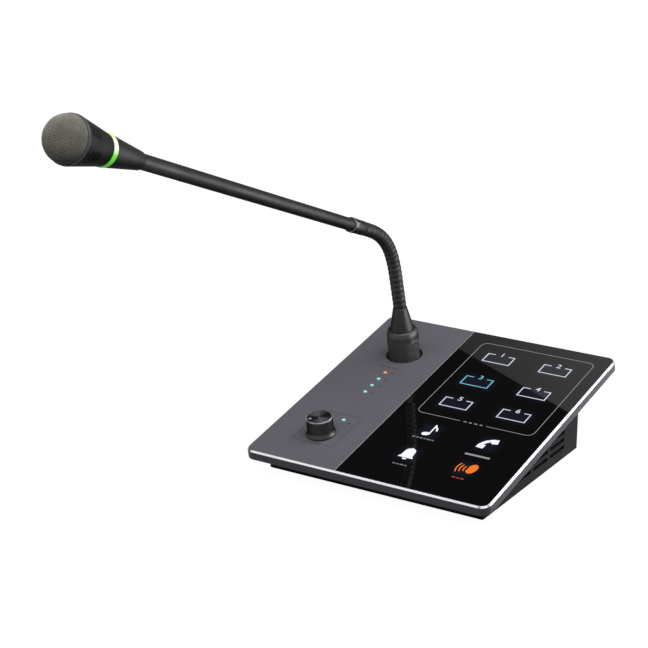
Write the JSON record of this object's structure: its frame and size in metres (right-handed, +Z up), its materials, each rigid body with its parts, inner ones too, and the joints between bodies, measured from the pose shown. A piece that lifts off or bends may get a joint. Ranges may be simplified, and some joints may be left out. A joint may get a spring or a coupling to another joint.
{
  "type": "paging call station",
  "caption": "Desk paging call station: wedge base with a sloping touch panel, volume knob and status lights, and a plug-in gooseneck microphone with a lit ring.",
  "frame": {"origin": "on the table, under the centre of the housing", "axes": "+Z up, +X to the user's right, -Y towards the user, along the microphone arm"},
  "size_m": [0.164, 0.3809, 0.2611],
  "materials": {
    "black_housing": "fine moulded texture, matt black",
    "black_rubber": "matt black",
    "screw_steel": "zinc plated",
    "green_board": "solder mask",
    "jack_shield": "nickel plated",
    "grey_plate": "anodised grey-violet, satin, bright cut chamfer",
    "black_glass": "back-painted black, polished",
    "white_diffuser": "translucent white",
    "grey_ribbon": "flat cable",
    "pot_case": "plain",
    "shaft_metal": "turned",
    "black_knob": "satin black",
    "knob_disc": "spun, black anodised",
    "white_dot": "white paint",
    "cyan_light": "clear lens, lit",
    "amber_light": "clear lens, lit",
    "socket_metal": "black",
    "gold_contact": "gold plated",
    "black_lead": "matt black",
    "black_ring": "satin black, knurled",
    "black_stem": "satin black",
    "black_neck": "matt black",
    "black_tube": "matt black",
    "black_head": "matt black",
    "green_halo": "translucent, lit",
    "rim_metal": "satin black",
    "dark_grille": "dark woven mesh",
    "black_foam": "open foam",
    "capsule_metal": "plain"
  },
  "bodies": {
    "base": {"housing": "black_housing", "rubber_feet": "black_rubber", "housing_screws": "screw_steel", "main_board": "green_board", "main_board_screws": "screw_steel", "line_jack_a": "jack_shield", "line_jack_b": "jack_shield", "top_plate": "grey_plate", "touch_glass": "black_glass", "light_diffuser": "white_diffuser", "touch_board": "green_board", "panel_cable": "grey_ribbon", "control_board": "green_board", "control_board_screws": "screw_steel", "volume_pot": "pot_case", "pot_nut": "screw_steel", "level_lights": "cyan_light", "signal_light": "amber_light", "power_light": "cyan_light", "mic_socket": "socket_metal", "socket_pins": "gold_contact", "mic_lead": "black_lead", "mic_plug": "socket_metal", "stem_cone": "black_stem"},
    "knob": {"volume_knob": "black_knob", "knob_cap": "knob_disc", "knob_pointer": "white_dot", "pot_shaft": "shaft_metal"},
    "lock_ring": {"lock_ring": "black_ring"},
    "neck_1": {"neck_section_1": "black_neck"},
    "neck_2": {"neck_section_2": "black_neck"},
    "neck_3": {"neck_section_3": "black_neck"},
    "neck_4": {"neck_section_4": "black_neck"},
    "neck_5": {"neck_section_5": "black_neck"},
    "neck_6": {"neck_section_6": "black_neck"},
    "neck_7": {"neck_section_7": "black_neck"},
    "neck_8": {"neck_section_8": "black_neck"},
    "neck_9": {"neck_section_9": "black_neck"},
    "neck_10": {"neck_section_10": "black_neck"},
    "neck_11": {"neck_section_11": "black_neck"},
    "arm": {"arm_ferrule": "black_stem", "arm_tube": "black_tube", "head_adapter": "black_head", "light_ring": "green_halo", "ring_light_board": "green_board", "head_shell": "black_head", "grille_rim": "rim_metal", "grille": "dark_grille", "foam_disc": "black_foam", "mic_capsule": "capsule_metal", "capsule_ring": "black_rubber"}
  },
  "joints": [
    {"name": "volume_turn", "type": "hinge", "parent": "base", "child": "knob", "pos_m": [-0.0472, -0.04529, 0.02309], "axis": [0, 0.1959, -0.9806], "range_deg": [0, 270]},
    {"name": "lock_ring_turn", "type": "hinge", "parent": "base", "child": "lock_ring", "pos_m": [-0.0472, 0.05414, 0.05111], "axis": [0, -0.1959, 0.9806], "range_deg": [0, 720]},
    {"name": "neck_bend", "type": "hinge", "parent": "base", "child": "neck_1", "pos_m": [-0.0472, 0.04877, 0.07798], "axis": [1, 0, 0], "range_deg": [-11, 4]},
    {"name": "neck_sway", "type": "hinge", "parent": "neck_1", "child": "neck_2", "pos_m": [-0.0472, 0.0468, 0.08532], "axis": [0, 0.9655, 0.2605], "range_deg": [-7.5, 7.5]},
    {"name": "neck_bend_2", "type": "hinge", "parent": "neck_2", "child": "neck_3", "pos_m": [-0.0472, 0.04482, 0.09266], "axis": [1, 0, 0], "range_deg": [-11, 4]},
    {"name": "neck_sway_2", "type": "hinge", "parent": "neck_3", "child": "neck_4", "pos_m": [-0.0472, 0.04284, 0.1], "axis": [0, 0.9604, 0.2787], "range_deg": [-7.5, 7.5]},
    {"name": "neck_bend_3", "type": "hinge", "parent": "neck_4", "child": "neck_5", "pos_m": [-0.0472, 0.04058, 0.10725], "axis": [1, 0, 0], "range_deg": [-11, 4]},
    {"name": "neck_sway_3", "type": "hinge", "parent": "neck_5", "child": "neck_6", "pos_m": [-0.0472, 0.03756, 0.11423], "axis": [0, 0.8848, 0.4659], "range_deg": [-7.5, 7.5]},
    {"name": "neck_bend_4", "type": "hinge", "parent": "neck_6", "child": "neck_7", "pos_m": [-0.0472, 0.03352, 0.12066], "axis": [1, 0, 0], "range_deg": [-11, 4]},
    {"name": "neck_sway_4", "type": "hinge", "parent": "neck_7", "child": "neck_8", "pos_m": [-0.0472, 0.02842, 0.1263], "axis": [0, 0.6803, 0.733], "range_deg": [-7.5, 7.5]},
    {"name": "neck_bend_5", "type": "hinge", "parent": "neck_8", "child": "neck_9", "pos_m": [-0.0472, 0.02242, 0.13096], "axis": [1, 0, 0], "range_deg": [-11, 4]},
    {"name": "neck_sway_5", "type": "hinge", "parent": "neck_9", "child": "neck_10", "pos_m": [-0.0472, 0.01579, 0.13469], "axis": [0, 0.4454, 0.8953], "range_deg": [-7.5, 7.5]},
    {"name": "neck_bend_6", "type": "hinge", "parent": "neck_10", "child": "neck_11", "pos_m": [-0.0472, 0.00883, 0.13772], "axis": [1, 0, 0], "range_deg": [-11, 4]},
    {"name": "neck_sway_6", "type": "hinge", "parent": "neck_11", "child": "arm", "pos_m": [-0.0472, 0.00177, 0.14055], "axis": [0, 0.3714, 0.9285], "range_deg": [-7.5, 7.5]}
  ],
  "couplings": [
    {"joint": "neck_bend_2", "follows": "neck_bend", "ratio": 1},
    {"joint": "neck_sway_2", "follows": "neck_sway", "ratio": 1},
    {"joint": "neck_bend_3", "follows": "neck_bend", "ratio": 1},
    {"joint": "neck_sway_3", "follows": "neck_sway", "ratio": 1},
    {"joint": "neck_bend_4", "follows": "neck_bend", "ratio": 1},
    {"joint": "neck_sway_4", "follows": "neck_sway", "ratio": 1},
    {"joint": "neck_bend_5", "follows": "neck_bend", "ratio": 1},
    {"joint": "neck_sway_5", "follows": "neck_sway", "ratio": 1},
    {"joint": "neck_bend_6", "follows": "neck_bend", "ratio": 1},
    {"joint": "neck_sway_6", "follows": "neck_sway", "ratio": 1}
  ]
}
